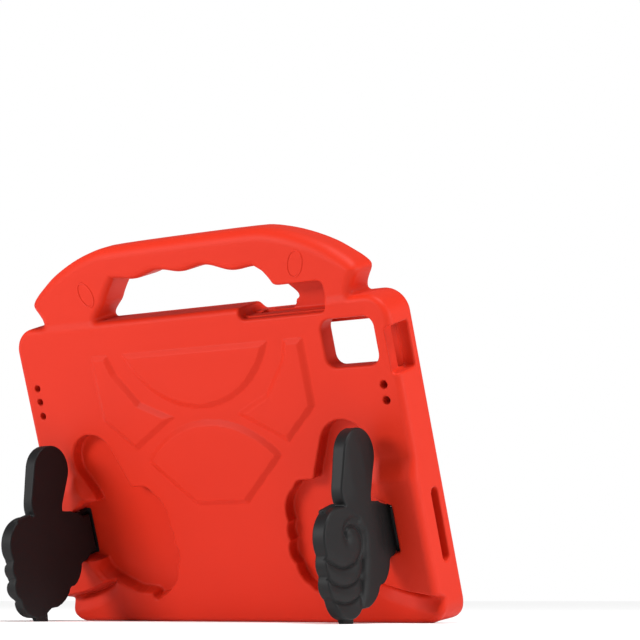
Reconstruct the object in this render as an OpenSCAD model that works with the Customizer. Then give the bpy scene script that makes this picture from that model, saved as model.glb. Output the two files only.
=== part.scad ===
// Foam tablet case with a carry handle and two fold-out thumbs-up stands.
// Row frame: +Z up, floor at z = 0, the case leans back on its open stands, back face towards -Y.
// Case frame, used by every part below: X across, Y up along the case, Z out of its back face.

/* [Case] */
// Width of the foam body
case_w = 264; // [258:1:276]
// Height of the foam body without its handle
case_h = 180; // [174:1:190]
// Thickness from the back face to the front lip
case_t = 25.6; // [24:0.2:30]
// Radius of the four outer corners
corner_r = 12; // [8:1:16]
// Bevel along the outer edges
edge_bevel = 3; // [1:0.5:4]
// Foam between the tablet and the back face
back_t = 11.5; // [11:0.5:13]
// Angle by which the case leans back on its stands
lean = 18.7; // [10:0.1:25]

/* [Tablet bay] */
// Width of the bay
bay_w = 248.4; // [240:0.2:250]
// Height of the bay
bay_h = 158.2; // [150:0.2:160]
// Depth of the bay
bay_t = 7.3; // [6:0.1:8]
// Overhang of the front lip over the tablet
lip_over = 5; // [3:0.5:7]
// Slope of the lip's inner edge, measured across it
lip_bevel = 3.6; // [1:0.2:5]

/* [Handle] */
// Top of the handle above the case's lower edge
handle_top = 222.3; // [216:0.1:230]
// Half of the handle's length at its outer tips
handle_tip = 117; // [112:0.5:122]
// Set-back of the handle from the back face and from the front face
handle_inset = 2.2; // [1:0.2:4]
// Height of the grip's underside above the case's lower edge
grip_under = 202.2; // [198:0.1:206]
// Depth of the finger waves
wave_h = 1.3; // [0.5:0.1:2.5]

/* [Stands] */
// Distance of each hinge axis from the middle of the case
hinge_x = 111.1; // [108:0.1:113]
// Depth of the hinge axis below the back face
hinge_z = 1.2; // [0.5:0.1:2]
// Angle between a stand and the back face
stand_open = 90; // [0:5:90]
// Thickness of a stand
stand_t = 7.8; // [6:0.1:8]
// Diameter of a hinge pin
pin_d = 3; // [2:0.1:3.4]
// Radial running clearance of a stand on its pin
pin_gap = 0.05; // [0.03:0.01:0.1]
// Clearance round a closed stand in its recess
recess_gap = 1.3; // [0.8:0.1:2]

/* [Housings] */
// Height of the two raised hinge housings above the back face
housing_h = 5; // [3:0.5:6]

/* [Hidden] */
$fn = 64;

foam = "orangered";
black_plastic = "#262626";
steel = "silver";
eps = 0.01;

half_w = case_w / 2;
mid_v = case_h / 2;
bay_floor = -back_t;
bay_top = -back_t - bay_t;
case_front = -case_t;

// The lowest line of the leaning case is its bevelled back bottom edge.
foot_radius = edge_bevel;
floor_v = min(foot_radius * cos(lean), foot_radius * sin(lean));
// Puts the middle of the object's depth at y = 0
origin_shift = 30.1;

stand_outer = 1.6;
stand_inner = stand_outer - stand_t;
barrel_r = 3.6;
barrel_v0 = 44;
barrel_v1 = 66;
ear_len = 4;
ear_gap = 0.4;
bracket_floor = 8.2;
bracket_base_t = 1.6;
bracket_v0 = barrel_v0 - ear_gap - ear_len;
bracket_v1 = barrel_v1 + ear_gap + ear_len;
recess_depth = 7.9;
lug_h = 2;

grip_half = 52;
wave_pitch = 34;
arch_drop = 2.2;

channel_x0 = 36;
channel_x1 = 93.5;
channel_floor = 175.4;
channel_leg_top = 190;
pocket_depth = 14;

// ---------------------------------------------------------------- placing

module leaning() {
    translate([0, origin_shift, -floor_v])
        rotate([90 + lean, 0, 0])
            children();
}

module right_side() {
    mirror([1, 0, 0])
        children();
}

// ---------------------------------------------------------------- foam outlines

module rounded_rect(w, h, r) {
    translate([-w / 2 + r, -h / 2])
        square([w - 2 * r, h]);
    translate([-w / 2, -h / 2 + r])
        square([w, h - 2 * r]);
    for (sx = [-1, 1], sy = [-1, 1])
        translate([sx * (w / 2 - r), sy * (h / 2 - r)])
            circle(r = r, $fn = 32);
}

// Profile of the case across one side: a block with its four long edges bevelled
module bevelled_profile(size) {
    polygon([[edge_bevel, case_front], [size - edge_bevel, case_front], [size, case_front + edge_bevel],
             [size, -edge_bevel], [size - edge_bevel, 0], [edge_bevel, 0],
             [0, -edge_bevel], [0, case_front + edge_bevel]]);
}

module case_slab() {
    intersection() {
        translate([0, mid_v, case_front])
            linear_extrude(case_t)
                rounded_rect(case_w, case_h, corner_r);
        translate([-half_w, 0, 0])
            across_v(case_h)
                bevelled_profile(case_w);
        translate([-half_w, 0, 0])
            across_u(case_w)
                bevelled_profile(case_h);
    }
}

// Turns a profile drawn as [u, w] into a prism along v
module across_v(length) {
    translate([0, length, 0])
        rotate([90, 0, 0])
            linear_extrude(length)
                children();
}

// Turns a profile drawn as [v, w] into a prism along u
module across_u(length) {
    rotate([90, 0, 90])
        linear_extrude(length)
            children();
}

module bay_space() {
    translate([-bay_w / 2, mid_v - bay_h / 2, bay_top])
        cube([bay_w, bay_h, bay_t]);
}

// Section of the lip's inner bevel across an opening of this size
module bevel_section(size) {
    polygon([[-lip_bevel, case_front], [size + lip_bevel, case_front], [size, bay_top], [0, bay_top]]);
}

module lip_opening() {
    open_w = bay_w - 2 * lip_over;
    open_h = bay_h - 2 * lip_over;
    open_v = mid_v - open_h / 2;
    translate([0, mid_v, case_front - 1])
        linear_extrude(case_t - back_t - bay_t + 1.5)
            rounded_rect(open_w, open_h, 7);
    intersection() {
        translate([-open_w / 2, open_v - 10, 0])
            across_v(open_h + 20)
                bevel_section(open_w);
        translate([-open_w / 2 - 10, open_v, 0])
            across_u(open_w + 20)
                bevel_section(open_h);
    }
}

// Relief in the middle of two lips, for the tablet's front cameras
module lip_reliefs() {
    translate([half_w - 18, mid_v - 11, case_front - 1])
        cube([9, 26, case_t - back_t - bay_t + 1]);
    translate([-35, mid_v + bay_h / 2 - 10, case_front - 1])
        cube([57, 9, case_t - back_t - bay_t + 1]);
}

// ---------------------------------------------------------------- openings in the foam

module camera_window() {
    translate([104.8, 155.9, -back_t - 1])
        linear_extrude(back_t + 2)
            rounded_rect(33.4, 26.2, 6);
}

module sound_holes() {
    for (v = [127.8, 136.4, 144.6])
        translate([-121.5, v, -back_t - 1])
            cylinder(d = 4, h = back_t + 2);
    for (v = [123.4, 131.9])
        translate([121.5, v, -back_t - 1])
            cylinder(d = 4.4, h = back_t + 2);
}

// Slot that wraps round the right back edge
module wrap_slot() {
    translate([128.2, 137, -18])
        cube([10, 25.5, 20]);
    translate([bay_w / 2 - 1, 139, -17.6])
        cube([10, 21.5, 5.4]);
}

// Long slot through the right side wall
module side_slot() {
    slot_w = 6.6;
    for (v = [34.5, 68.5])
        translate([bay_w / 2 - 1, v, -13.6])
            rotate([0, 90, 0])
                cylinder(d = slot_w, h = 12);
    translate([bay_w / 2 - 1, 34.5, -13.6 - slot_w / 2])
        cube([12, 34, slot_w]);
}

// Channel for the tablet's buttons: a notch across the top wall that ends in a pocket under the leg
module button_channel() {
    translate([channel_x0, channel_floor, case_front - 1])
        cube([66 - channel_x0, 20, case_t + 2]);
    translate([channel_x0, channel_floor, -pocket_depth])
        cube([channel_x1 - channel_x0, channel_leg_top - channel_floor, pocket_depth + 1]);
    translate([43, mid_v + bay_h / 2 - 1, bay_top + 1])
        cube([7, 10, bay_t - 2]);
}

// ---------------------------------------------------------------- stands

// Outline of a stand, X = reach from the hinge axis, Y = up along the case
module thumb_outline() {
    hull() {
        translate([21, 99.5])
            circle(r = 14.5, $fn = 32);
        translate([30, 83])
            circle(r = 13, $fn = 32);
    }
}

module fist_outline() {
    polygon([[11.9, 38.8], [15.1, 32.4], [19, 29.9], [30.7, 25], [35.6, 22.3], [44, 22.3],
             [52, 21.5], [58, 36], [58, 60], [46, 78], [19, 80], [18.7, 74.4], [11.9, 71.5]]);
    translate([51, 64])
        circle(r = 15.8);
    translate([59.5, 53])
        circle(r = 8.8);
    translate([60.6, 42.5])
        circle(r = 8.8);
    translate([52.5, 35])
        circle(r = 13.8);
}

// Foot under the fist: its sole lies on the floor when the stand is open
module foot_outline() {
    sole0 = 48.8;
    sole1 = 58;
    polygon([[sole0, sole_v(sole0)], [sole1, sole_v(sole1)], [59, 25], [47.6, 25]]);
}

function sole_v(reach) = (floor_v + (reach - hinge_z) * sin(lean)) / cos(lean);

// Wrist between the hinge barrel and the hand
module wrist_outline() {
    polygon([[0, barrel_v0], [6.2, 40], [14, 40], [14, 72.6], [9.8, 70.9], [0, barrel_v1]]);
}

module hand_outline() {
    thumb_outline();
    fist_outline();
}

module stand_body() {
    difference() {
        union() {
            translate([0, 0, stand_inner])
                linear_extrude(stand_t) {
                    hand_outline();
                    wrist_outline();
                    foot_outline();
                }
            translate([0, barrel_v0, 0])
                rotate([-90, 0, 0])
                    cylinder(r = barrel_r, h = barrel_v1 - barrel_v0);
            snap_lug();
        }
        // Bore for the hinge pin
        translate([0, barrel_v0 - 5, 0])
            rotate([-90, 0, 0])
                cylinder(r = pin_d / 2 + pin_gap, h = barrel_v1 - barrel_v0 + 10);
        // Room for the bracket's ears beside the barrel
        for (v = [bracket_v0 - 1, barrel_v1])
            translate([-10, v, -10])
                cube([10 + barrel_r + 0.4, ear_len + ear_gap + 1, 20]);
    }
}

// Small hook on the inner face that clicks into the recess
module snap_lug() {
    translate([41.5, 72.5, stand_inner - lug_h])
        cube([10, 9, lug_h + 1]);
}

module place_stand(angle) {
    translate([-hinge_x, 0, -hinge_z])
        rotate([0, -angle, 0])
            children();
}

// Space that a closed stand needs in the back panel
module recess_space() {
    place_stand(0)
        translate([0, 0, -recess_depth + hinge_z])
            linear_extrude(recess_depth + 1)
                offset(r = recess_gap, $fn = 32) {
                    hand_outline();
                    foot_outline();
                    polygon([[4, 40], [14, 40], [14, 72.6], [4, 70.9]]);
                }
    place_stand(0)
        translate([40.9, 71.9, stand_inner - lug_h - 0.4])
            cube([11.2, 10.2, lug_h + 2]);
    // Hinge cavity: the barrel, the wrist's swing and the bracket
    translate([-hinge_x - barrel_r - 0.5, bracket_v0 - 0.1, -hinge_z - 4.2])
        cube([12, bracket_v1 - bracket_v0 + 0.2, 20]);
    translate([-hinge_x - 6 - 0.05, bracket_v0 - 0.1, -bracket_floor - bracket_base_t - 0.05])
        cube([14.1, bracket_v1 - bracket_v0 + 0.2, bracket_floor + 1]);
}

// ---------------------------------------------------------------- hinge hardware

module hinge_bracket() {
    base_w = 14;
    difference() {
        union() {
            translate([-hinge_x - 6, bracket_v0, -bracket_floor - bracket_base_t])
                cube([base_w, bracket_v1 - bracket_v0, bracket_base_t]);
            for (v = [bracket_v0, bracket_v1 - ear_len]) {
                translate([-hinge_x, v, -hinge_z])
                    rotate([-90, 0, 0])
                        cylinder(r = 3.4, h = ear_len);
                translate([-hinge_x - 3.4, v, -bracket_floor - eps])
                    cube([6.8, ear_len, bracket_floor - hinge_z]);
            }
        }
        translate([-hinge_x, bracket_v0 - 1, -hinge_z])
            rotate([-90, 0, 0])
                cylinder(d = pin_d, h = bracket_v1 - bracket_v0 + 2);
    }
}

module hinge_pin() {
    translate([-hinge_x, bracket_v0, -hinge_z])
        rotate([-90, 0, 0])
            cylinder(d = pin_d, h = bracket_v1 - bracket_v0);
}

// Raised foam round the outer side of a hinge: a block with a gap where the wrist swings
module housing() {
    v0 = 21;
    v1 = 88;
    slope = 5;
    inner = 103.5;
    outer = half_w - edge_bevel;
    top_ramp = 12;
    gap_v0 = 38;
    gap_v1 = 75;
    gap_outer = hinge_x + barrel_r + 0.5;
    difference() {
        intersection() {
            translate([0, v0, 0])
                across_v(v1 - v0)
                    polygon([[-outer, 0], [-inner, 0], [-inner - 1, housing_h], [-outer + slope, housing_h]]);
            translate([-half_w, 0, 0])
                across_u(half_w)
                    polygon([[v0, 0], [v1, 0], [v1 - top_ramp, housing_h], [v0 + 1.5, housing_h]]);
        }
        translate([-gap_outer, gap_v0, -1])
            cube([20, gap_v1 - gap_v0, housing_h + 2]);
    }
}

// ---------------------------------------------------------------- handle

// Underside of the grip: finger waves on a shallow arch
function wave(u) = grip_under - wave_h * cos(u * 360 / wave_pitch) - arch_drop * pow(u / grip_half, 2);

module grip_outline() {
    steps = 44;
    polygon(concat([for (i = [0:steps]) let (u = grip_half * (2 * i / steps - 1)) [u, wave(u)]],
                   [[grip_half, handle_top], [-grip_half, handle_top]]));
}

// Left leg: the outer shoulder, the pointed outer tip and the foot on the case
module leg_outline() {
    polygon([[-grip_half, handle_top], [-62.6, handle_top - 1.3], [-78.5, handle_top - 5.3],
             [-96.5, handle_top - 12.6], [-108, handle_top - 19.8], [-handle_tip + 3.3, 198.6],
             [-handle_tip + 0.2, 195], [-handle_tip + 0.5, 192], [-113.6, 188.6], [-111.2, 184],
             [-111.2, case_h], [-68.6, case_h], [-68.4, 182.6], [-66, 184.8], [-60.6, 189.6],
             [-58.2, 194], [-54.5, 198.4], [-grip_half, wave(grip_half)]]);
}

module handle_slab() {
    translate([0, 0, case_front + handle_inset])
        linear_extrude(case_t - 2 * handle_inset)
            children();
}

// ---------------------------------------------------------------- raised pattern

pattern_h = 1.2;

module pattern_disc(r, centre_v) {
    translate([0, centre_v])
        circle(r = r, $fn = 128);
}

module bowl_outline() {
    intersection() {
        pattern_disc(56.5, 182.5);
        polygon([[-60, 100], [60, 100], [56, 161], [-56, 161]]);
    }
}

module petal_outline() {
    difference() {
        polygon([[-75.5, 161], [-63.3, 161], [-59, 150], [-45, 132], [-22, 121.8],
                 [-54, 103.8], [-75.5, 122.7]]);
        pattern_disc(61.5, 182.5);
    }
}

module fan_outline() {
    intersection() {
        pattern_disc(62, 57.5);
        polygon([[-50.4, 99.2], [-18.2, 70.2], [18.2, 70.2], [50.4, 99.2], [40, 125], [-40, 125]]);
    }
}

// ---------------------------------------------------------------- sub-parts

module back_panel() {
    color(foam)
        leaning()
            difference() {
                intersection() {
                    case_slab();
                    translate([-half_w, 0, bay_floor])
                        cube([case_w, case_h, back_t + 1]);
                }
                camera_window();
                sound_holes();
                wrap_slot();
                side_slot();
                button_channel();
                recess_space();
                right_side()
                    recess_space();
            }
}

module back_pattern() {
    color(foam)
        leaning()
            linear_extrude(pattern_h) {
                bowl_outline();
                fan_outline();
                petal_outline();
                right_side()
                    petal_outline();
            }
}

module rim() {
    difference() {
        case_slab();
        bay_space();
        lip_opening();
        lip_reliefs();
        wrap_slot();
        side_slot();
        button_channel();
    }
}

rail_v = mid_v - bay_h / 2 + lip_over;
rail_u = half_w - bay_w / 2 + lip_over;

module rail(u0, u1, v0, v1) {
    color(foam)
        leaning()
            intersection() {
                rim();
                translate([u0, v0, case_front - 1])
                    cube([u1 - u0, v1 - v0, case_t - back_t + 1]);
            }
}

module top_rail() {
    rail(-half_w, half_w, case_h - rail_v, case_h);
}

module bottom_rail() {
    rail(-half_w, half_w, 0, rail_v);
}

module left_rail() {
    rail(-half_w, -half_w + rail_u, rail_v, case_h - rail_v);
}

module right_rail() {
    rail(half_w - rail_u, half_w, rail_v, case_h - rail_v);
}

module handle_left_leg() {
    color(foam)
        leaning()
            handle_slab()
                leg_outline();
}

module handle_right_leg() {
    color(foam)
        leaning()
            difference() {
                handle_slab()
                    right_side()
                        leg_outline();
                button_channel();
            }
}

module handle_grip() {
    color(foam)
        leaning()
            handle_slab()
                grip_outline();
}

module left_housing() {
    color(foam)
        leaning()
            housing();
}

module right_housing() {
    color(foam)
        leaning()
            right_side()
                housing();
}

module left_hinge_bracket() {
    color(black_plastic)
        leaning()
            hinge_bracket();
}

module right_hinge_bracket() {
    color(black_plastic)
        leaning()
            right_side()
                hinge_bracket();
}

module left_hinge_pin() {
    color(steel)
        leaning()
            hinge_pin();
}

module right_hinge_pin() {
    color(steel)
        leaning()
            right_side()
                hinge_pin();
}

module left_stand() {
    color(black_plastic)
        leaning()
            place_stand(stand_open)
                stand_body();
}

module right_stand() {
    color(black_plastic)
        leaning()
            right_side()
                place_stand(stand_open)
                    stand_body();
}

back_panel();
back_pattern();
top_rail();
bottom_rail();
left_rail();
right_rail();
handle_left_leg();
handle_right_leg();
handle_grip();
left_housing();
right_housing();
left_hinge_bracket();
right_hinge_bracket();
left_hinge_pin();
right_hinge_pin();
left_stand();
right_stand();
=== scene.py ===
"""Foam tablet case with a carry handle and two fold-out thumbs-up stands, leaning on its open stands.

Shapes are written in millimetres in the case's own frame: u across, v up along the case, w out of its
back face. Each is a signed distance, negative inside the material, which mould() turns into a mesh.
"""

import math

import bpy
import numpy as np
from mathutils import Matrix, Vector


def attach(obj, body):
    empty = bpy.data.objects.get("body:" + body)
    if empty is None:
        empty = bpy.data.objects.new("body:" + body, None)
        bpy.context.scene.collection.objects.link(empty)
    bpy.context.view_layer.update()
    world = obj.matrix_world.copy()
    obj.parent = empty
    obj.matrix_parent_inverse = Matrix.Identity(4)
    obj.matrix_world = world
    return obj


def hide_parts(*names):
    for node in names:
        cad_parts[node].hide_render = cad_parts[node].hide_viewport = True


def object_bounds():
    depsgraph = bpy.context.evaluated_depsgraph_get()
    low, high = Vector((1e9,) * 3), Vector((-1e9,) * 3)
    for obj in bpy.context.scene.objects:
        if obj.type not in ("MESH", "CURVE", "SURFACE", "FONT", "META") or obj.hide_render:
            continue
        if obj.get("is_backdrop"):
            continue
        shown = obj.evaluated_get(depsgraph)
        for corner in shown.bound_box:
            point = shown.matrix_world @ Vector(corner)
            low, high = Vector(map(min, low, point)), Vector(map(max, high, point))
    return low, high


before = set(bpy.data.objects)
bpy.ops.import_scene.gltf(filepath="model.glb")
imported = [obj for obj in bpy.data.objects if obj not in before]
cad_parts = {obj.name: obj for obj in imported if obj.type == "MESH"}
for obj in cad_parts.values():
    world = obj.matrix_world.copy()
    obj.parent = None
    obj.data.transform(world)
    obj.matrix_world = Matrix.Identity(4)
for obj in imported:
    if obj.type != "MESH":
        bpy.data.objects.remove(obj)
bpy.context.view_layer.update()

MM = 0.001

# How the case stands in the row frame: turned by LEAN, moved by SHIFT along y, and lowered by DROP, which
# brings the line w = -3 at the foot of its back to the floor.
LEAN = math.radians(18.7)
SHIFT = 30.1
DROP = 3 * math.sin(LEAN)

# The slab, and the tablet's bay in it. The flat back face is w = 0.
HALF_W, HALF_H = 132.0, 90.0
FRONT = -25.6
BAY_FLOOR, BAY_TOP = -11.5, -18.8
BACK_THROUGH = -13.0

# The handle's two faces and the circle that the bowl and the petals of the pattern share.
HANDLE_BACK, HANDLE_FRONT = -1.4, -24.2
RING_V, BOWL_RADIUS, PETAL_RADIUS = 182.5, 56.5, 61.5
FAN_V, FAN_RADIUS = 57.5, 62.0

# The stands: hinge axis, the plate's two faces from it, floor of the recess, middle and half width of the
# snap hook, and radii of the pin and of the barrel round it.
HINGE_U, HINGE_V, HINGE_W = 111.1, 55.0, -1.2
STAND_OUTER, STAND_INNER = 1.6, -6.2
RECESS_FLOOR = -7.9
HOOK_R, HOOK_V, HOOK_HALF = 51.0, 74.4, 6.2
PIN_RADIUS, BARREL_RADIUS = 1.5, 3.6

# Holes through the back: middle u and v, and radius.
SOUND_HOLES = [(-121.5, 127.8, 2.0), (-121.5, 136.4, 2.0), (-121.5, 144.6, 2.0),
               (121.5, 123.4, 2.2), (121.5, 131.9, 2.2)]

# Marks on the handle's legs: middle and tilt in radians, then half length, half width and section.
BEADS = [((78.6, 200.6), 1.15), ((-70.8, 196.6), 2.0)]
BEAD_LONG, BEAD_SHORT, BEAD_SECTION = 7.5, 4.6, 0.55

# Grid steps and triangle budgets of the large meshes.
FOAM_STEP, STAND_STEP, BRACKET_STEP = 1.0, 0.6, 0.4
FOAM_TRIANGLES, STAND_TRIANGLES = 194000, 150000


# ---------------------------------------------------------------- distances


def round_and(a, b, r):
    """What two shapes share, its convex edge rounded: outside both insets of r, the distance is the
    length of the two excesses."""
    return np.minimum(np.maximum(a, b), -r) + np.hypot(np.maximum(a + r, 0), np.maximum(b + r, 0))


def round_cut(a, b, r):
    """Shape a with shape b cut away and the edge rounded."""
    return round_and(a, -b, r)


def round_join(a, b, r):
    """Both shapes with a fillet of radius r between them."""
    return np.maximum(np.minimum(a, b), r) - np.hypot(np.maximum(r - a, 0), np.maximum(r - b, 0))


def rounded_rect(u, v, half_u, half_v, r):
    """Distance to a rectangle with round corners: that to its corner centres' rectangle, less r."""
    du, dv = np.abs(u) - half_u + r, np.abs(v) - half_v + r
    return np.hypot(np.maximum(du, 0), np.maximum(dv, 0)) + np.minimum(np.maximum(du, dv), 0) - r


def block(u, v, w, u0, u1, v0, v1, w0, w1, r):
    """Distance to a block between two corners, its edges rounded."""
    d = [np.abs(p - (a + b) / 2) - (b - a) / 2 + r for p, a, b in ((u, u0, u1), (v, v0, v1), (w, w0, w1))]
    out = np.sqrt(sum(np.maximum(x, 0) ** 2 for x in d))
    return out + np.minimum(np.maximum(np.maximum(d[0], d[1]), d[2]), 0) - r


def outline_distance(u, v, corners):
    """Signed distance to a closed outline: the least distance to its edges, negative where a ray to
    the right crosses them an odd number of times."""
    u, v = np.broadcast_arrays(u, v)
    nearest = np.full(u.shape, 1e9)
    inside = np.zeros(u.shape, bool)
    corners = np.asarray(corners, float)
    for (au, av), (bu, bv) in zip(corners, np.roll(corners, -1, axis=0)):
        eu, ev = bu - au, bv - av
        t = np.clip(((u - au) * eu + (v - av) * ev) / (eu * eu + ev * ev), 0, 1)
        nearest = np.minimum(nearest, (u - au - t * eu) ** 2 + (v - av - t * ev) ** 2)
        if ev:
            inside ^= ((av <= v) != (bv <= v)) & (u < au + (v - av) * eu / ev)
    return np.where(inside, -1, 1) * np.sqrt(nearest)


def line_distance(u, v, points):
    """Distance to an open line through points."""
    nearest = 1e9
    for (au, av), (bu, bv) in zip(points[:-1], points[1:]):
        eu, ev = bu - au, bv - av
        t = np.clip(((u - au) * eu + (v - av) * ev) / (eu * eu + ev * ev), 0, 1)
        nearest = np.minimum(nearest, (u - au - t * eu) ** 2 + (v - av - t * ev) ** 2)
    return np.sqrt(nearest)


def smooth(x, start, end):
    """0 before start, 1 after end, and the cubic 3t^2 - 2t^3 between."""
    t = np.clip((x - start) / (end - start), 0, 1)
    return t * t * (3 - 2 * t)


def soft_ramp(x, width, soft):
    """0 to width with slope 1 between, the two bends eased over soft: half of width plus the
    difference of two hyperbolas."""
    return 0.5 * (width + np.hypot(x, soft) - np.hypot(x - width, soft))


def curve_through(points, closed=True, rounds=2):
    """Corner cutting: each round replaces a corner by points at 1/4 and 3/4 of its edges."""
    p = np.asarray(points, float)
    for _ in range(rounds):
        q = np.roll(p, -1, axis=0) if closed else p[1:]
        a = p if closed else p[:-1]
        cut = np.stack([0.75 * a + 0.25 * q, 0.25 * a + 0.75 * q], 1).reshape(-1, 2)
        p = cut if closed else np.vstack([p[:1], cut[1:-1], p[-1:]])
    return p


# ---------------------------------------------------------------- meshes


def surface_net(distance, low, high, step):
    """Points and quads of the zero surface of distance over a box: one point in each cell of the grid
    that the surface crosses, at the mean of its edge crossings, and one quad round each crossed edge."""
    axes = [np.arange(a, b + step, step) for a, b in zip(low, high)]
    grid = np.meshgrid(*axes, indexing="ij", sparse=True)
    value = np.broadcast_to(distance(*grid), tuple(len(a) for a in axes)).astype(np.float32)
    solid = value < 0
    shape = tuple(n - 1 for n in value.shape)

    def corner(array, i, j, k):
        return array[i : i + shape[0], j : j + shape[1], k : k + shape[2]]

    count = sum(corner(solid, i, j, k).astype(np.int8) for i in (0, 1) for j in (0, 1) for k in (0, 1))
    cells = np.argwhere((count > 0) & (count < 8))
    number = np.full(shape, -1, np.int64)
    number[tuple(cells.T)] = np.arange(len(cells))
    total, hits = np.zeros((len(cells), 3)), np.zeros(len(cells))
    for axis in range(3):
        for o1 in (0, 1):
            for o2 in (0, 1):
                start = np.insert(np.array([o1, o2]), axis, 0)
                end = start.copy()
                end[axis] = 1
                a = value[tuple((cells + start).T)]
                b = value[tuple((cells + end).T)]
                crossed = (a < 0) != (b < 0)
                t = np.where(crossed, a / np.where(crossed, a - b, 1), 0)
                place = cells + start + np.eye(3)[axis] * t[:, None]
                total += np.where(crossed[:, None], place, 0)
                hits += crossed
    points = np.array(low) + total / hits[:, None] * step
    quads = []
    for axis in range(3):
        p, q = (axis + 1) % 3, (axis + 2) % 3
        a = np.take(solid, range(solid.shape[axis] - 1), axis)
        b = np.take(solid, range(1, solid.shape[axis]), axis)
        edges = np.argwhere(a != b)
        edges = edges[(edges[:, p] > 0) & (edges[:, q] > 0)]
        edges = edges[(edges[:, p] < shape[p]) & (edges[:, q] < shape[q])]
        forward = a[tuple(edges.T)]
        dp, dq = np.eye(3, dtype=int)[p], np.eye(3, dtype=int)[q]
        ring = [number[tuple((edges - s).T)] for s in (dp + dq, dq, 0 * dp, dp)]
        quad = np.stack(ring, 1)
        quads.append(np.where(forward[:, None], quad, quad[:, ::-1]))
    return points, np.vstack(quads)


def slope(distance, points, reach=0.05):
    """Value and gradient of distance at points, by central differences."""
    value = distance(*points.T)
    gradient = np.empty_like(points)
    for axis in range(3):
        nudge = np.eye(3)[axis] * reach
        gradient[:, axis] = (distance(*(points + nudge).T) - distance(*(points - nudge).T)) / (2 * reach)
    return value, gradient


def settle(distance, points, limit, rounds=2):
    """Moves points onto the zero surface along the gradient, by no more than limit a round."""
    for _ in range(rounds):
        value, gradient = slope(distance, points)
        square = np.maximum((gradient**2).sum(1), 0.2)
        move = gradient * (value / square)[:, None]
        length = np.linalg.norm(move, axis=1)
        points = points - move * (np.minimum(1, limit / np.maximum(length, 1e-9)))[:, None]
    return points


def case_to_row(points):
    """Case frame in millimetres to the row frame in metres: the lean turns v and w about X."""
    u, v, w = points.T
    s, c = math.sin(LEAN), math.cos(LEAN)
    return np.stack([u, -(v * s + w * c) + SHIFT, v * c - w * s - DROP], 1) * MM


def turn_to_row(normals):
    """The same turn for directions."""
    return (case_to_row(normals) - case_to_row(np.zeros((1, 3)))) / MM


def plain_mesh(name, points, faces):
    mesh = bpy.data.meshes.new(name)
    mesh.from_pydata(points, [], faces)
    mesh.update()
    return mesh


def placed(name, data):
    """A new object in the scene that shows this mesh, light or camera."""
    made = bpy.data.objects.new(name, data)
    bpy.context.scene.collection.objects.link(made)
    return made


def smooth_shaded(mesh):
    mesh.polygons.foreach_set("use_smooth", np.ones(len(mesh.polygons), bool))


def thinned(mesh, triangles):
    """The mesh with its flat parts thinned to about this many triangles."""
    holder = placed("thinning", mesh)
    thin = holder.modifiers.new("thin", "DECIMATE")
    thin.ratio = min(1.0, triangles / (2 * len(mesh.polygons)))
    bpy.context.view_layer.update()
    result = bpy.data.meshes.new_from_object(holder.evaluated_get(bpy.context.evaluated_depsgraph_get()))
    bpy.data.objects.remove(holder)
    return result


def mould(name, distance, low, high, step, to_case=None, flip=False, triangles=None):
    """A smooth closed mesh of a signed distance, with normals from its gradient, in the row frame. to_case
    takes the distance's own frame to the case's; flip is for one that mirrors it."""
    points, quads = surface_net(distance, low, high, step)
    points = settle(distance, points, step)
    mesh = plain_mesh(name, points, quads)
    if triangles and 2 * len(quads) > triangles:
        mesh = thinned(mesh, triangles)
        mesh.name = name
        co = np.empty(len(mesh.vertices) * 3)
        mesh.vertices.foreach_get("co", co)
        points = settle(distance, co.reshape(-1, 3), 0.3, 1)
    normals = slope(distance, points, 0.12)[1]
    normals /= np.maximum(np.linalg.norm(normals, axis=1), 1e-9)[:, None]
    if to_case is not None:
        points, normals = to_case(points), to_case(normals) - to_case(np.zeros((1, 3)))
    if flip:
        mesh.flip_normals()
    mesh.vertices.foreach_set("co", case_to_row(points).ravel())
    smooth_shaded(mesh)
    mesh.update()
    mesh.normals_split_custom_set_from_vertices(turn_to_row(normals))
    return placed(name, mesh)


# ---------------------------------------------------------------- stand outlines

# Reach from the hinge axis and height v.
FIST = [(11.6, 41), (12.2, 38.4), (13.7, 35.6), (16, 32.9), (18.6, 30.8), (21.2, 29.7), (24.2, 30.0),
        (25.6, 29.2), (26.8, 27.5), (28.7, 25.8), (31.5, 24.1), (35, 22.9), (38.6, 22.4), (41.4, 23.0),
        (44.2, 23.4), (52, 22.0), (58, 36), (58, 60), (46, 78), (19, 80), (18.7, 74.4), (11.9, 71.5)]
KNUCKLES = [(51, 64, 15.8), (59.5, 53, 8.8), (60.6, 42.5, 8.8), (52.5, 35, 13.8)]

# The recess below the fist, wider than the hand so that the swing clears it.
HEEL = curve_through([(10.4, 44), (11.6, 37.2), (15.6, 32), (20.5, 28.4), (26, 25.2), (31.5, 22.6),
                      (38, 20.8), (47, 19.8), (57, 19.8), (62, 24), (50, 50), (20, 60)])


def capsule(r, v, r0, v0, radius0, r1, v1, radius1):
    """Distance to the hull of two discs: each disc beyond its end, their common tangent between."""
    length = math.hypot(r1 - r0, v1 - v0)
    along = ((r - r0) * (r1 - r0) + (v - v0) * (v1 - v0)) / length
    side = np.abs((r - r0) * (v1 - v0) - (v - v0) * (r1 - r0)) / length
    sine = (radius0 - radius1) / length
    cosine = math.sqrt(1 - sine * sine)
    where = -side * sine + along * cosine
    middle = side * cosine + along * sine - radius0
    near = np.hypot(side, along) - radius0
    far = np.hypot(side, along - length) - radius1
    return np.where(where < 0, near, np.where(where > length * cosine, far, middle))


def sole_height(reach):
    """Height v of a stand's sole at this reach from the hinge: the floor, in the leaning case's frame."""
    return (DROP + (reach + HINGE_W) * math.sin(LEAN)) / math.cos(LEAN)


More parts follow.
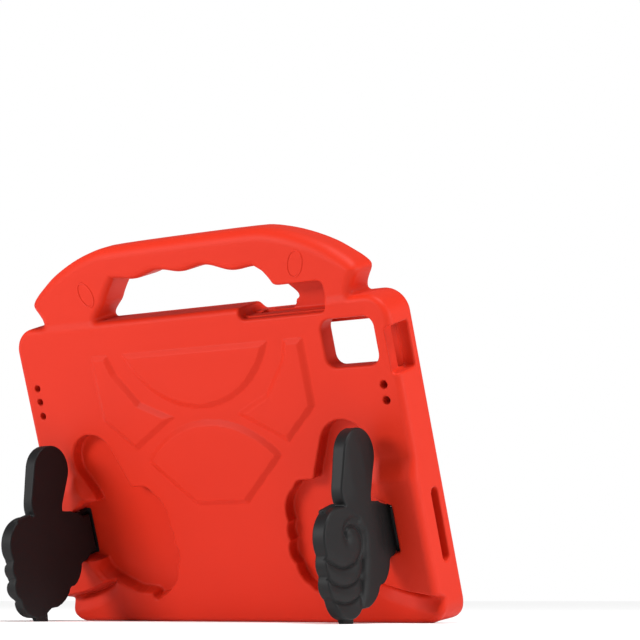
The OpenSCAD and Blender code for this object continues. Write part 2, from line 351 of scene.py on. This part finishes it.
def hand_outline(r, v, web=1.5):
    """Thumb and fist of a stand, r out from the hinge axis, with a fillet of radius web between."""
    thumb = capsule(r, v, 21, 99.5, 14.5, 30, 83, 13)
    fist = outline_distance(r, v, FIST)
    for cr, cv, radius in KNUCKLES:
        fist = round_join(fist, np.hypot(r - cr, v - cv) - radius, 0.8)
    return round_join(thumb, fist, web)


def foot_outline(r, v):
    """The foot under the fist, down to the floor."""
    return outline_distance(r, v, [(48.8, sole_height(48.8)), (58, sole_height(58)), (59, 25), (47.6, 25)])


# ---------------------------------------------------------------- foam body


def grip_wave(u):
    """Underside of the grip: finger waves on a shallow arch, lower at its right end."""
    pitch, half_span = 34, 52
    waves = 1.3 * np.cos(u * 2 * np.pi / pitch)
    return 204.6 - waves - 2.2 * (u / half_span) ** 2 - 2.4 * smooth(u, 8, 50)


HANDLE_SIDE = [(52, 222.3), (62.6, 221), (78.5, 217), (96, 209.7), (106.8, 202.6), (112.2, 198.4),
               (115.2, 194.6), (114.6, 191.4), (111.4, 187.2), (109.2, 183), (109.2, 170)]
HOLE_SIDE = [(68.6, 170), (68.6, 180), (68.2, 182.8), (66, 185.2), (60.6, 189.8), (58.2, 194), (54.8, 198.2)]


def handle_outlines():
    """Outer outline of the handle and the outline of its finger hole, both mirrored about u = 0."""
    side = np.array(HANDLE_SIDE, float)
    outer = np.vstack([side * (-1, 1), side[::-1]])
    waves = np.linspace(-50, 50, 61)
    hole = np.array(HOLE_SIDE, float)
    top = np.stack([waves, grip_wave(waves)], 1)
    left, right = curve_through(hole * (-1, 1), False), curve_through(hole, False)
    return curve_through(outer), np.vstack([left, top, right[::-1]])


HANDLE_OUTER, HANDLE_HOLE = handle_outlines()


def raised_pattern(u, v):
    """Height of the two petals, the bowl and the fan: level plates with bevelled borders."""
    bevel, bend, rise = 3.2, 0.12, 0.6
    a = np.abs(u)
    ring = np.hypot(u, v - RING_V)
    bowl = np.maximum(ring - BOWL_RADIUS, v - 161)
    petal = outline_distance(a, v, [(75.5, 161), (62.8, 161), (59, 150), (45, 132), (22, 121.8), (54, 103.8),
                                    (75.5, 122.7)])
    petal = np.maximum(petal, PETAL_RADIUS - ring)
    fan = outline_distance(a, v, [(-60, 140), (-60, 70.2), (18.2, 70.2), (50.4, 99.2), (40, 140)])
    fan = np.maximum(np.hypot(u, v - FAN_V) - FAN_RADIUS, fan)
    depth = -np.minimum(np.minimum(bowl, petal), fan)
    return soft_ramp(depth, bevel, bend) * rise


def housing_height(a, v):
    """Raised foam between a recess and the side: 5 mm over the hinge, an ellipse towards the side, a
    long ramp at the top and a ledge below. Under the ledge lie a soft groove and a shallow dish that
    runs out at the lower edge; above is the height over the ledge's line."""
    ledge = np.interp(a, [90, 96, 103, 110, 117, 122, 132], [29, 26.5, 23.8, 21.6, 19.9, 19, 16.8])
    above = v - ledge
    crown = np.sqrt(np.clip(1 - (np.maximum(a - 116, 0) / 19) ** 2, 0, 1))
    from_hand = hand_outline(HINGE_U - a, v, 5.0)
    inner = smooth(from_hand, 0.6, 6.0) * smooth(a, 91, 97)
    raised = 5.0 * inner * crown * (1 - smooth(v, 79, 93))
    dish = -(2.8 * smooth(a, 88, 102) + 1.0 * smooth(a, 104, 126)) * (1 - smooth(-above, 3, 13))
    dish = dish - 3.4 * np.exp(-(((above + 2.4) / 1.9) ** 2)) * smooth(a, 90, 95) * (1 - smooth(a, 118, 126))
    return dish + (raised - dish) * smooth(above, -3.6, 0.8)


def back_height(u, v):
    """Height of the back surface above the flat back face."""
    return raised_pattern(u, v) + housing_height(np.abs(u), v)


def case_block(u, v, w):
    """The slab with its rounded corners and edges; its underside slopes down a little to the front."""
    slant = 0.2 * np.clip(-w - 5, 0, 21) * smooth(v, 16, 0)
    plan = rounded_rect(u, v + slant - HALF_H, HALF_W, HALF_H, 10.5 + 3.0 * smooth(v, 60, 120))
    return round_and(round_and(plan, w - back_height(u, v), 3.8), FRONT - w, 5.0)


def handle_block(u, v, w):
    """The handle: its outline less the finger hole, with well rounded edges."""
    outer = outline_distance(u, v, HANDLE_OUTER)
    hole = outline_distance(u, v, HANDLE_HOLE)
    soft = 5.0 + 2.5 * smooth(v, 186, 204)
    bar = round_and(round_and(outer, w - HANDLE_BACK, soft), HANDLE_FRONT - w, soft)
    return round_cut(bar, hole, 4.0)


def bay_and_lip(u, v, w):
    """The tablet's bay and the front opening, whose rim slopes back towards the front."""
    bay = block(u, v - HALF_H, w, -124.2, 124.2, -79.1, 79.1, BAY_TOP, BAY_FLOOR, 1.0)
    slope_out = 3.6 * np.clip((BAY_TOP - w) / (BAY_TOP - FRONT), 0, 1.2)
    opening = rounded_rect(u, v - HALF_H, 119.2, 74.1, 7.0) - slope_out
    side_relief = outline_distance(u, v, [(112, 77), (120.5, 77), (124, 81), (124, 103), (120.5, 107),
                                          (112, 107)])
    top_relief = outline_distance(u, v, [(-39, 160), (-35, 168.6), (22, 168.6), (26, 160)])
    plan = np.minimum(np.minimum(opening, side_relief), top_relief)
    return np.minimum(bay, np.maximum(plan, w - (BAY_TOP + 0.8)))


def stand_recess(a, v, w):
    """Pocket for a closed stand, with the hinge's cavity and the snap hook's pocket."""
    r = HINGE_U - a
    heel = outline_distance(r, v, HEEL)
    foot = foot_outline(r, v) - 0.6
    tab = rounded_rect(r - HOOK_R, v - HOOK_V, 7.2, 7.2, 2.5)
    hand = np.minimum(hand_outline(r - 0.8, v + 0.7, 5.0) - 1.2, heel)
    hand = round_join(round_join(hand, foot, 3.0), tab, 4.0)
    hand = hand - 0.3 * smooth(v, 42, 32) * smooth(r, 60, 50) * np.clip(w - RECESS_FLOOR, 0, 9)
    pocket = round_and(hand, RECESS_FLOOR - w, 1.2)
    swing = outline_distance(a, v, [(94, 38.4), (104, 39), (110, 41), (115.3, 42.4), (115.3, 67.6),
                                    (110, 69.2), (101, 74.4), (94, 74.4)])
    wrist = round_and(swing, RECESS_FLOOR - w, 1.2)
    plate = block(a, v, w, 106.8, 115.4, 41.2, 68.8, -9.9, -5.0, 0.3)
    return np.minimum(pocket, np.minimum(wrist, plate))


def button_channel(u, v, w):
    """Notch over the top wall, the blind pocket that carries it on under the leg, and the key hole."""
    notch = np.maximum(rounded_rect(u - 51.0, v - 180.4, 15.0, 5.0, 3.5), FRONT - 9 - w)
    step = 1.3 * smooth(-w, 4.6, 5.6)
    pocket = rounded_rect(u - 64.75, v - 181.6 - step / 2, 28.75, 8.4 - step / 2, 3.5)
    pocket = round_and(pocket, -14 - w, 1.5)
    key = block(u, v, w, 43, 50, 166, 178, -17.6, -12.4, 1.0)
    return np.minimum(np.minimum(notch, pocket), key)


def foam(u, v, w):
    """The one-piece foam body."""
    a = np.abs(u)
    body = round_join(case_block(u, v, w), handle_block(u, v, w), 2.4)
    body = round_cut(body, button_channel(u, v, w), 1.4)
    body = round_cut(body, bay_and_lip(u, v, w), 1.1)
    window = np.maximum(rounded_rect(u - 104.8, v - 155.9, 16.7, 13.1, 6.0), BACK_THROUGH - w)
    body = round_cut(body, window, 1.5)
    body = round_cut(body, stand_recess(a, v, w), 1.3)
    for hu, hv, radius in SOUND_HOLES:
        body = round_cut(body, np.maximum(np.hypot(u - hu, v - hv) - radius, BACK_THROUGH - w), 0.5)
    return round_cut(body, side_openings(u, v, w), 0.9)


def side_openings(u, v, w):
    """The slot round the right edge with the port behind it, and the long hole lower on the right side."""
    slot = np.minimum(block(u, v, w, 128.0, 150, 137, 162.5, -18, 20, 2.0),
                      block(u, v, w, 124.9, 150, 137, 162.5, -18, -1.2, 2.0))
    port = block(u, v, w, 121, 140, 138.4, 161.1, -17.6, -11.9, 1.6)
    long_hole = np.maximum(rounded_rect(v - 51.5, w + 13.6, 20.3, 3.3, 3.3), 122 - u)
    return np.minimum(np.minimum(slot, port), long_hole)


# ---------------------------------------------------------------- stands

# Grooves of the outer face, reach and height: one under each finger, the first curling into the fist, then
# the curl's end and the fold along the palm.
FINGER_LINES = [
    [(68.6, 58.9), (63.5, 54.8), (58.9, 51.1), (53.3, 48.3), (47.0, 47.3), (40.7, 47.9), (36.6, 49.8),
     (33.6, 53.2), (32.4, 57.0), (32.6, 61.0), (35.0, 64.5), (39.6, 67.0), (43.6, 67.2), (46.2, 65.0),
     (46.0, 62.4)],
    [(70.5, 49.7), (65.5, 45.2), (61.4, 41.9), (55.8, 39.1), (49.5, 38.0), (44.1, 38.1), (39.2, 39.6),
     (36.2, 42.6), (34.6, 47.0)],
    [(71.0, 37.8), (64.1, 34.0), (58.5, 31.0), (52.4, 29.6), (47.0, 29.7), (42.4, 30.8), (40.0, 33.2),
     (38.6, 36.8)],
]
FINGER_LINES = [curve_through(line, False) for line in FINGER_LINES]
CURL_LINE = curve_through([(46.6, 65.6), (46.4, 68.4), (42.6, 70.2), (37.9, 70.2), (33.4, 68.2)], False)
PALM_LINE = curve_through([(30.4, 60.0), (31.1, 56.1), (33.2, 50.0), (36.7, 40.6), (41.8, 30.9),
                           (45.4, 22.0)], False)


def stand_face(r, v):
    """Outer face of a stand: finger grooves with pillowed fingers between, a soft fold along the palm,
    a domed thumb and a hollow towards the wrist."""
    depth = 0.0
    for line in FINGER_LINES:
        d = line_distance(r, v, line)
        depth = depth + 0.9 * np.exp(-((d / 0.75) ** 2)) + 0.9 * np.exp(-((d / 3.2) ** 2))
    curl = line_distance(r, v, CURL_LINE)
    depth = depth + 0.7 * np.exp(-((curl / 1.6) ** 2))
    palm = line_distance(r, v, PALM_LINE)
    depth = depth + 0.55 * np.exp(-((palm / 1.5) ** 2))
    thumb = np.hypot((r - 26) / 15, (v - 92) / 40)
    dome = 0.9 * smooth(thumb, 0.35, 1.15) * smooth(v, 76, 88)
    hollow = 0.9 * np.exp(-(((r - 12) / 6) ** 2)) * smooth(v, 40, 50) * (1 - smooth(v, 66, 76))
    return STAND_OUTER - depth - dome - hollow - 1.2 * (1 - smooth(r, -2, 6))


def stand(r, v, h):
    """A stand's plate with its sculpted outer face, sole, hinge barrel, snap hook and pin bore."""
    wrist = outline_distance(r, v, [(-2.9, 44), (0, 44), (7.5, 40.6), (16, 40.6), (16, 72.2), (12, 72),
                                    (8.6, 70.2), (0, 66), (-2.9, 66)])
    hand = round_join(hand_outline(r, v), wrist, 1.5)
    plate = round_and(round_and(hand, h - stand_face(r, v), 1.1), STAND_INNER - h, 0.6)
    foot = round_and(round_and(foot_outline(r, v), h + 2.9, 0.5), STAND_INNER + 0.1 - h, 0.5)
    axis = np.hypot(r, h)
    barrel = round_and(axis - BARREL_RADIUS, np.abs(v - HINGE_V) - 11, 0.5)
    hook = block(r, v, h, HOOK_R - HOOK_HALF, HOOK_R + HOOK_HALF, HOOK_V - HOOK_HALF, HOOK_V + HOOK_HALF,
                 STAND_INNER, STAND_INNER + 3.4, 1.2)
    body = round_join(plate, barrel, 0.8)
    body = np.minimum(np.minimum(body, foot), hook)
    ears = np.minimum(block(r, v, h, -10, 3.0, 39, 44.1, -10, 10, 0.2),
                      block(r, v, h, -10, 3.0, 65.9, 71, -10, 10, 0.2))
    body = round_cut(body, ears, 0.3)
    return round_cut(body, axis - (PIN_RADIUS + 0.05), 0.2)


def stand_place(side):
    """Stand frame (reach, up, out of the hand's face) to the case frame of the open stand."""
    def place(points):
        r, v, h = points.T
        return np.stack([side * (HINGE_U + h), v, HINGE_W + r], 1)
    return place


def bracket_shape(side):
    """Hinge bracket: a base plate with two round-topped ears, bored for the pin."""
    ear_radius, half_thick = 2.2, 1.2

    def shape(u, v, w):
        a = side * u
        axis = np.hypot(a - HINGE_U, w - HINGE_W)
        knob = axis - ear_radius
        post = np.maximum(np.abs(a - HINGE_U) - ear_radius, np.maximum(w - HINGE_W, -9.0 - w))
        body = block(a, v, w, HINGE_U - 4, HINGE_U + 4, 41.4, 68.6, -9.8, -8.2, 0.4)
        for middle in (42.6, 67.4):
            ear = round_and(np.minimum(knob, post), np.abs(v - middle) - half_thick, 0.4)
            body = round_join(body, ear, 0.6)
        return round_cut(body, axis - (PIN_RADIUS + 0.02), 0.2)
    return shape


def lathe_pin(name, side):
    """Hinge pin: a profile of radius and height v, turned about the hinge axis."""
    profile = np.array([(0, 41.15), (1.0, 41.2), (1.38, 41.4), (PIN_RADIUS, 41.75), (PIN_RADIUS, 47),
                        (PIN_RADIUS, HINGE_V), (PIN_RADIUS, 63), (PIN_RADIUS, 68.25), (1.38, 68.6),
                        (1.0, 68.8), (0, 68.85)])
    turns = 32
    angle = np.arange(turns) * 2 * np.pi / turns
    radius, along = profile[1:-1, 0][:, None], profile[1:-1, 1][:, None]
    ring = np.stack([side * HINGE_U + radius * np.cos(angle), along + 0 * angle,
                     HINGE_W + radius * np.sin(angle)], -1).reshape(-1, 3)
    ends = np.array([[side * HINGE_U, profile[0, 1], HINGE_W], [side * HINGE_U, profile[-1, 1], HINGE_W]])
    points = case_to_row(np.vstack([ring, ends]))
    last = (len(radius) - 1) * turns
    faces = [(i + j, i + turns + j, i + turns + (j + 1) % turns, i + (j + 1) % turns)
             for i in range(0, last, turns) for j in range(turns)]
    faces += [(len(ring), j, (j + 1) % turns) for j in range(turns)]
    faces += [(len(ring) + 1, last + (j + 1) % turns, last + j) for j in range(turns)]
    mesh = plain_mesh(name, points, faces)
    smooth_shaded(mesh)
    return placed(name, mesh)


def oval_bead(centre, tilt, face):
    """A moulded oval bead on a face of the handle: a small oval section carried along an ellipse, half
    sunk in the foam."""
    along, around = 96, 12
    t = np.arange(along)[:, None] * 2 * np.pi / along
    s = np.arange(around)[None, :] * 2 * np.pi / around
    x, y = BEAD_LONG * np.cos(t), BEAD_SHORT * np.sin(t)
    nx, ny = BEAD_SHORT * np.cos(t), BEAD_LONG * np.sin(t)
    size = np.hypot(nx, ny)
    x, y = x + BEAD_SECTION * np.cos(s) * nx / size, y + BEAD_SECTION * np.cos(s) * ny / size
    u = centre[0] + x * math.cos(tilt) - y * math.sin(tilt)
    v = centre[1] + x * math.sin(tilt) + y * math.cos(tilt)
    w = face + 0.7 * BEAD_SECTION * np.sin(s) + 0 * u
    points = case_to_row(np.stack([u, v, w], -1).reshape(-1, 3))
    i, j = np.meshgrid(np.arange(along), np.arange(around), indexing="ij")
    i1, j1 = (i + 1) % along, (j + 1) % around
    quads = np.stack([i * around + j, i1 * around + j, i1 * around + j1, i * around + j1], -1)
    return points, quads.reshape(-1, 4)


# ---------------------------------------------------------------- finishes


class Shade:
    """A value in a node tree. + and * on it add Math nodes."""

    def __init__(self, tree, socket):
        self.tree, self.socket = tree, socket

    def math(self, operation, first, second):
        return node(self.tree, "ShaderNodeMath", {"operation": operation}, {0: first, 1: second})

    def __add__(self, other):
        return self.math("ADD", self, other)

    def __radd__(self, other):
        return self.math("ADD", other, self)

    def __mul__(self, other):
        return self.math("MULTIPLY", self, other)

    def __rmul__(self, other):
        return self.math("MULTIPLY", other, self)


def node(tree, kind, settings, inputs, output=0):
    """Adds a node: its settings first, then the values or links of its sockets."""
    made = tree.nodes.new(kind)
    for key, value in settings.items():
        setattr(made, key, value)
    for key, value in inputs.items():
        if isinstance(value, Shade):
            tree.links.new(value.socket, made.inputs[key])
        else:
            made.inputs[key].default_value = value
    return Shade(tree, made.outputs[output])


def finish_material(name, constants):
    """A new material, its node tree and its Principled shader with these constant sockets set."""
    material = bpy.data.materials.new(name)
    material.use_nodes = True
    shader = next(n for n in material.node_tree.nodes if n.type == "BSDF_PRINCIPLED")
    for key, value in constants.items():
        shader.inputs[key].default_value = value
    return material, material.node_tree, shader


def drive(tree, shader, socket, value):
    tree.links.new(value.socket, shader.inputs[socket])


def grain(tree, scale, detail):
    """Noise on the piece's own coordinates, about 0.5 in the middle."""
    place = node(tree, "ShaderNodeTexCoord", {}, {}, "Object")
    return node(tree, "ShaderNodeTexNoise", {}, {"Vector": place, "Scale": scale, "Detail": detail})


def mixed(tree, factor, first, second):
    """Colour between two, by factor."""
    return node(tree, "ShaderNodeMix", {"data_type": "RGBA"}, {0: factor, 6: first, 7: second}, 2)


def foam_finish():
    """Soft closed-cell foam, matt with a faint skin gloss and a very fine grain."""
    material, tree, shader = finish_material("red_foam", {
        "Specular IOR Level": 0.18, "Sheen Weight": 0.02, "Sheen Roughness": 0.5})
    fine, broad = grain(tree, 2600.0, 2.0), grain(tree, 18.0, 2.0)
    colour = mixed(tree, broad, (0.52, 0.017, 0.003, 1), (0.56, 0.020, 0.004, 1))
    drive(tree, shader, "Base Color", colour)
    drive(tree, shader, "Roughness", 0.50 + 0.08 * fine)
    bump = node(tree, "ShaderNodeBump", {}, {"Strength": 0.10, "Distance": 0.0002, "Height": fine}, "Normal")
    drive(tree, shader, "Normal", bump)
    return material


def plastic_finish():
    """Moulded black plastic, satin, with a faint spark-eroded texture."""
    material, tree, shader = finish_material("black_plastic", {"Specular IOR Level": 0.18})
    fine, broad = grain(tree, 1800.0, 2.0), grain(tree, 40.0, 2.0)
    colour = mixed(tree, broad, (0.006, 0.006, 0.0062, 1), (0.008, 0.008, 0.0084, 1))
    drive(tree, shader, "Base Color", colour)
    drive(tree, shader, "Roughness", 0.46 + 0.10 * fine)
    bump = node(tree, "ShaderNodeBump", {}, {"Strength": 0.12, "Distance": 0.0002, "Height": fine}, "Normal")
    drive(tree, shader, "Normal", bump)
    return material


def steel_finish():
    """Bright steel pin with faint turning marks."""
    material, tree, shader = finish_material("pin_steel", {"Metallic": 1.0})
    fine = grain(tree, 900.0, 3.0)
    drive(tree, shader, "Base Color", mixed(tree, fine, (0.50, 0.50, 0.52, 1), (0.62, 0.62, 0.64, 1)))
    drive(tree, shader, "Roughness", 0.22 + 0.12 * fine)
    return material


# ---------------------------------------------------------------- the object

FOAM, PLASTIC, STEEL = foam_finish(), plastic_finish(), steel_finish()

FOAM_NODES = ("back_panel", "back_pattern", "top_rail", "bottom_rail", "left_rail", "right_rail",
              "handle_left_leg", "handle_right_leg", "handle_grip", "left_housing", "right_housing")


def finished(piece, material, slot, body, *nodes):
    """Gives a piece its finish, the body that it moves with and the CAD nodes that it replaces."""
    piece.data.materials.clear()
    piece.data.materials.append(material)
    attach(piece, body)
    if nodes:
        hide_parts(*nodes)


def handle_beads():
    """The four beads as one mesh: two on each face of the handle."""
    parts, faces, start = [], [], 0
    for centre, tilt in BEADS:
        for face in (HANDLE_BACK, HANDLE_FRONT):
            points, quads = oval_bead(centre, tilt, face)
            parts.append(points)
            faces.append((quads if face == HANDLE_BACK else quads[:, ::-1]) + start)
            start += len(points)
    mesh = plain_mesh("handle_beads", np.vstack(parts), np.vstack(faces))
    smooth_shaded(mesh)
    return placed("handle_beads", mesh)


body = mould("foam_body", foam, (-135, -7, -28), (135, 225, 8), FOAM_STEP, triangles=FOAM_TRIANGLES)
finished(body, FOAM, "foam", "case", *FOAM_NODES)
finished(handle_beads(), FOAM, "foam", "case")

for side, name in ((-1, "left"), (1, "right")):
    hand = mould(f"{name}_hand", stand, (-5.5, 1, -9.5), (72, 116, 3.2), STAND_STEP, stand_place(side),
                 flip=side > 0, triangles=STAND_TRIANGLES)
    finished(hand, PLASTIC, "black_plastic", f"{name}_stand", f"{name}_stand")
    middle = side * HINGE_U
    edges = middle - side * 9, middle + side * 7
    low, high = (min(edges) - 1, 38.5, -11), (max(edges) + 1, 71.5, 3.5)
    bracket = mould(f"{name}_bracket", bracket_shape(side), low, high, BRACKET_STEP)
    finished(bracket, PLASTIC, "black_plastic", "case", f"{name}_hinge_bracket")
    pin = lathe_pin(f"{name}_pin", side)
    finished(pin, STEEL, "pin_steel", "case", f"{name}_hinge_pin")


# ---------------------------------------------------------------- floor, light and camera


def floor_sheet():
    """A pale level floor, far wider than the object."""
    reach = 30.0
    corners = [(-reach, -reach, 0), (reach, -reach, 0), (reach, reach, 0), (-reach, reach, 0)]
    mesh = plain_mesh("floor", corners, [(0, 1, 2, 3)])
    constants = {"Base Color": (0.97, 0.97, 0.97, 1), "Roughness": 0.6, "Specular IOR Level": 0.2}
    mesh.materials.append(finish_material("pale_floor", constants)[0])
    placed("floor", mesh)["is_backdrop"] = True


def panel_light(name, place, target, size, power):
    """A rectangular soft light that faces target. Places are in metres, power in watts."""
    light = bpy.data.lights.new(name, "AREA")
    light.shape, light.size, light.size_y = "RECTANGLE", size[0], size[1]
    light.energy = power
    made = placed(name, light)
    made.location = place
    made.rotation_mode = "QUATERNION"
    made.rotation_quaternion = (Vector(target) - Vector(place)).to_track_quat("-Z", "Y")


def sky_light(name, towards, strength, spread):
    """An even light from above, as from a lit ceiling: spread is its width in degrees."""
    light = bpy.data.lights.new(name, "SUN")
    light.energy, light.angle = strength, math.radians(spread)
    made = placed(name, light)
    made.rotation_mode = "QUATERNION"
    made.rotation_quaternion = Vector(towards).to_track_quat("Z", "Y")


def studio():
    """White surroundings, full strength to the camera and dimmer as light, with three lights."""
    shine = 0.13
    world = bpy.data.worlds.new("studio")
    world.use_nodes = True
    background = next(n for n in world.node_tree.nodes if n.type == "BACKGROUND")
    background.inputs["Color"].default_value = (1, 1, 1, 1)
    seen = node(world.node_tree, "ShaderNodeLightPath", {}, {}, "Is Camera Ray")
    drive(world.node_tree, background, "Strength", shine + (1 - shine) * seen)
    bpy.context.scene.world = world
    bpy.context.scene.view_settings.view_transform = "Standard"
    panel_light("front", (-0.9, -1.82, 0.7), (0, 0, 0.1), (0.9, 0.6), 34)
    panel_light("side", (1.1, 0.34, 0.36), (0.1, 0, 0.08), (0.5, 0.4), 7)
    sky_light("top", (0.35, -0.20, 0.91), 3.2, 22)


def camera():
    """A long lens close to the floor, to the right of the case's back and tilted up a little."""
    lens = bpy.data.cameras.new("camera")
    lens.lens, lens.sensor_width, lens.clip_end = 113.85, 36.0, 100
    made = placed("camera", lens)
    made.location = (0.7046, -0.8917, 0.012)
    made.rotation_euler = (math.radians(97.89), 0, math.radians(35.35))
    bpy.context.scene.camera = made


floor_sheet()
studio()
camera()

low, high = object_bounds()
